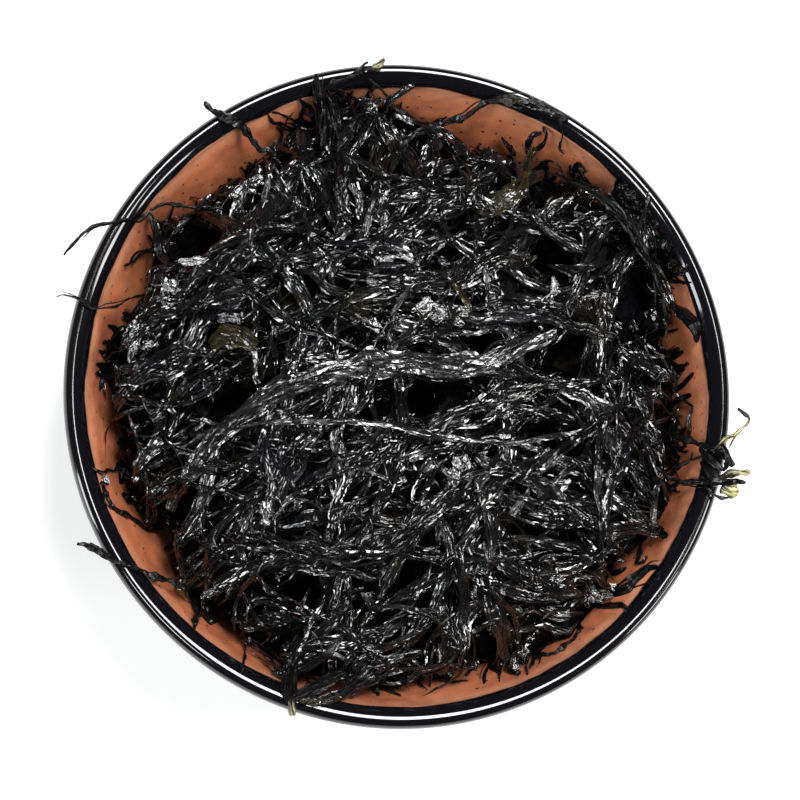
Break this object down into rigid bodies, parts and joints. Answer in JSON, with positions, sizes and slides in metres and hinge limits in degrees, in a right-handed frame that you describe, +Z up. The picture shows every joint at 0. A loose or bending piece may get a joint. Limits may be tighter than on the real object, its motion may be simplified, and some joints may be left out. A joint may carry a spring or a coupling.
{
  "type": "bowl of dried laver",
  "caption": "Loose heap of black dried laver strips filling a round glazed clay bowl past its lip, with a few strips hanging over it.",
  "frame": {"origin": "centre of the flat foot, where the bowl's axis meets the surface it stands on", "axes": "+Z up along the bowl's axis; +X to the right and +Y away from the near edge as seen from above"},
  "size_m": [0.2064, 0.2, 0.0833],
  "materials": {
    "glazed_clay": "gloss black glaze on the outside and the lip, speckled terracotta inside",
    "dried_laver": "near black crumpled film with small bright glints"
  },
  "bodies": {
    "root": {"bowl": "glazed_clay", "laver": "dried_laver"}
  },
  "joints": []
}
